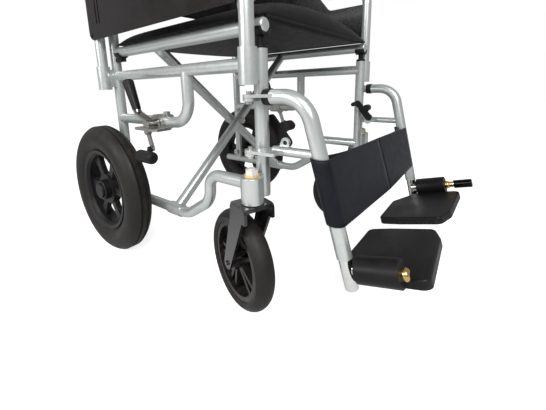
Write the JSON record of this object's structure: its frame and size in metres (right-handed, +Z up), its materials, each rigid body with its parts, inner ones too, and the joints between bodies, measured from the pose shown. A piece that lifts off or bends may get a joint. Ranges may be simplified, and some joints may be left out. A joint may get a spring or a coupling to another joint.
{
  "type": "transport wheelchair",
  "caption": "Folding transport wheelchair with small rear wheels, casters, lift-off armrests and swing-away leg hangers with footplates.",
  "frame": {"origin": "on the floor, under the middle of the overall box", "axes": "+X to the sitter's left, +Y to the rear, +Z up"},
  "size_m": [0.581, 0.8543, 0.924],
  "materials": {
    "frame_paint": "light silver-grey powder coat",
    "steel": "zinc-plated steel",
    "bright_chrome": "chrome plate",
    "black_steel": "gloss black enamel",
    "black_plastic": "moulded black nylon",
    "gloss_black": "moulded black plastic with a soft sheen",
    "tyre_rubber": "black rubber",
    "grip_rubber": "black rubber",
    "black_fabric": "black coated nylon",
    "pad_vinyl": "black vinyl over foam"
  },
  "bodies": {
    "right_side_frame": {"right_front_post": "frame_paint", "right_back_cane": "frame_paint", "right_side_rail": "frame_paint", "right_brake_rail": "frame_paint", "right_lower_rail": "frame_paint", "right_arm_sockets": "frame_paint", "right_seat_saddles": "black_plastic", "right_steel_pins": "steel", "right_push_grip": "grip_rubber", "right_brake_bracket": "steel", "back_upholstery": "black_fabric"},
    "right_rear_wheel": {"right_rear_tyre": "tyre_rubber", "right_rear_wheel": "black_plastic"},
    "right_caster_fork": {"right_caster_fork": "black_steel"},
    "right_caster_wheel": {"right_caster_wheel": "gloss_black", "right_caster_tyre": "tyre_rubber"},
    "right_brake_lever": {"right_brake_lever": "steel", "right_brake_grip": "black_plastic"},
    "right_brake_link": {"right_brake_link": "steel"},
    "right_brake_shoe": {"right_brake_shoe": "grip_rubber"},
    "right_hanger": {"right_hanger": "frame_paint", "right_drop_tube": "bright_chrome", "right_calf_strap": "black_fabric"},
    "right_latch": {"right_latch": "black_plastic"},
    "right_footplate": {"right_footplate": "black_plastic"},
    "right_armrest": {"right_arm_frame": "frame_paint", "right_arm_pad": "pad_vinyl", "right_skirt_guard": "gloss_black"},
    "left_side_frame": {"left_front_post": "frame_paint", "left_back_cane": "frame_paint", "left_side_rail": "frame_paint", "left_brake_rail": "frame_paint", "left_lower_rail": "frame_paint", "left_arm_sockets": "frame_paint", "left_seat_saddles": "black_plastic", "left_steel_pins": "steel", "left_push_grip": "grip_rubber", "left_brake_bracket": "steel"},
    "left_rear_wheel": {"left_rear_tyre": "tyre_rubber", "left_rear_wheel": "black_plastic"},
    "left_caster_fork": {"left_caster_fork": "black_steel"},
    "left_caster_wheel": {"left_caster_wheel": "gloss_black", "left_caster_tyre": "tyre_rubber"},
    "left_brake_lever": {"left_brake_lever": "steel", "left_brake_grip": "black_plastic"},
    "left_brake_link": {"left_brake_link": "steel"},
    "left_brake_shoe": {"left_brake_shoe": "grip_rubber"},
    "left_hanger": {"left_hanger": "frame_paint", "left_drop_tube": "bright_chrome", "left_calf_strap": "black_fabric"},
    "left_latch": {"left_latch": "black_plastic"},
    "left_footplate": {"left_footplate": "black_plastic"},
    "left_armrest": {"left_arm_frame": "frame_paint", "left_arm_pad": "pad_vinyl", "left_skirt_guard": "gloss_black"},
    "cross_brace_a": {"cross_brace_a": "frame_paint", "cross_pivot_bolt": "steel"},
    "cross_brace_b": {"cross_brace_b": "frame_paint", "seat": "black_fabric"}
  },
  "joints": [
    {"name": "fold", "type": "hinge", "parent": "right_side_frame", "child": "cross_brace_a", "pos_m": [-0.211, 0.07514, 0.127], "axis": [0, -1, 0], "range_deg": [0, 34.5], "deforming": ["seat", "back_upholstery", "right_calf_strap", "left_calf_strap"]},
    {"name": "fold_cross", "type": "hinge", "parent": "cross_brace_a", "child": "cross_brace_b", "pos_m": [0, 0.08714, 0.2995], "axis": [0, -1, 0], "range_deg": [-69.5, 0]},
    {"name": "fold_frame", "type": "hinge", "parent": "cross_brace_b", "child": "left_side_frame", "pos_m": [0.211, 0.09914, 0.127], "axis": [0, -1, 0], "range_deg": [0, 35]},
    {"name": "right_rear_wheel_spin", "type": "hinge", "parent": "right_side_frame", "child": "right_rear_wheel", "pos_m": [-0.262, 0.26714, 0.1525], "axis": [1, 0, 0], "continuous": true},
    {"name": "right_caster_swivel", "type": "hinge", "parent": "right_side_frame", "child": "right_caster_fork", "pos_m": [-0.24, -0.16686, 0.2295], "axis": [0, 0, 1], "continuous": true},
    {"name": "right_caster_spin", "type": "hinge", "parent": "right_caster_fork", "child": "right_caster_wheel", "pos_m": [-0.22502, -0.12337, 0.089], "axis": [0.9455, -0.3256, 0], "continuous": true},
    {"name": "right_brake_lever", "type": "hinge", "parent": "right_side_frame", "child": "right_brake_lever", "pos_m": [-0.243, 0.09014, 0.32], "axis": [1, 0, 0], "range_deg": [0, 48]},
    {"name": "right_brake_link", "type": "hinge", "parent": "right_side_frame", "child": "right_brake_link", "pos_m": [-0.243, 0.10614, 0.3], "axis": [1, 0, 0], "range_deg": [0, 48.5]},
    {"name": "right_brake_shoe", "type": "hinge", "parent": "right_brake_link", "child": "right_brake_shoe", "pos_m": [-0.25, 0.09414, 0.266], "axis": [1, 0, 0], "range_deg": [-48.5, 0]},
    {"name": "right_hanger_swing", "type": "hinge", "parent": "right_side_frame", "child": "right_hanger", "pos_m": [-0.24, -0.16686, 0.3315], "axis": [0, 0, -1], "range_deg": [0, 90]},
    {"name": "right_latch_release", "type": "hinge", "parent": "right_hanger", "child": "right_latch", "pos_m": [-0.1929, -0.19986, 0.299], "axis": [1, 0, 0], "range_deg": [0, 20]},
    {"name": "right_footplate_flip", "type": "hinge", "parent": "right_hanger", "child": "right_footplate", "pos_m": [-0.203, -0.30786, 0.13], "axis": [0, -0.9613, 0.2756], "range_deg": [0, 80]},
    {"name": "right_armrest_lift", "type": "slide", "parent": "right_side_frame", "child": "right_armrest", "axis": [0, 0, 1], "range_m": [0, 0.045]},
    {"name": "left_rear_wheel_spin", "type": "hinge", "parent": "left_side_frame", "child": "left_rear_wheel", "pos_m": [0.262, 0.26714, 0.1525], "axis": [1, 0, 0], "continuous": true},
    {"name": "left_caster_swivel", "type": "hinge", "parent": "left_side_frame", "child": "left_caster_fork", "pos_m": [0.24, -0.16686, 0.2295], "axis": [0, 0, 1], "continuous": true},
    {"name": "left_caster_spin", "type": "hinge", "parent": "left_caster_fork", "child": "left_caster_wheel", "pos_m": [0.20805, -0.13377, 0.089], "axis": [0.7193, 0.6947, 0], "continuous": true},
    {"name": "left_brake_lever", "type": "hinge", "parent": "left_side_frame", "child": "left_brake_lever", "pos_m": [0.243, 0.09014, 0.32], "axis": [1, 0, 0], "range_deg": [0, 48]},
    {"name": "left_brake_link", "type": "hinge", "parent": "left_side_frame", "child": "left_brake_link", "pos_m": [0.243, 0.10614, 0.3], "axis": [1, 0, 0], "range_deg": [0, 48.5]},
    {"name": "left_brake_shoe", "type": "hinge", "parent": "left_brake_link", "child": "left_brake_shoe", "pos_m": [0.25, 0.09414, 0.266], "axis": [1, 0, 0], "range_deg": [-48.5, 0]},
    {"name": "left_hanger_swing", "type": "hinge", "parent": "left_side_frame", "child": "left_hanger", "pos_m": [0.24, -0.16686, 0.3315], "axis": [0, 0, 1], "range_deg": [0, 90]},
    {"name": "left_latch_release", "type": "hinge", "parent": "left_hanger", "child": "left_latch", "pos_m": [0.1929, -0.19986, 0.299], "axis": [1, 0, 0], "range_deg": [0, 20]},
    {"name": "left_footplate_flip", "type": "hinge", "parent": "left_hanger", "child": "left_footplate", "pos_m": [0.203, -0.30786, 0.13], "axis": [0, -0.9613, 0.2756], "range_deg": [-80, 0]},
    {"name": "left_armrest_lift", "type": "slide", "parent": "left_side_frame", "child": "left_armrest", "axis": [0, 0, 1], "range_m": [0, 0.045]}
  ],
  "couplings": [
    {"joint": "fold_cross", "follows": "fold", "ratio": -2},
    {"joint": "fold_frame", "follows": "fold", "ratio": 1},
    {"joint": "right_brake_link", "follows": "right_brake_lever", "ratio": 1},
    {"joint": "right_brake_shoe", "follows": "right_brake_lever", "ratio": -1},
    {"joint": "right_footplate_flip", "follows": "fold", "ratio": 2.3},
    {"joint": "left_brake_link", "follows": "left_brake_lever", "ratio": 1},
    {"joint": "left_brake_shoe", "follows": "left_brake_lever", "ratio": -1},
    {"joint": "left_footplate_flip", "follows": "fold", "ratio": -2.3}
  ]
}
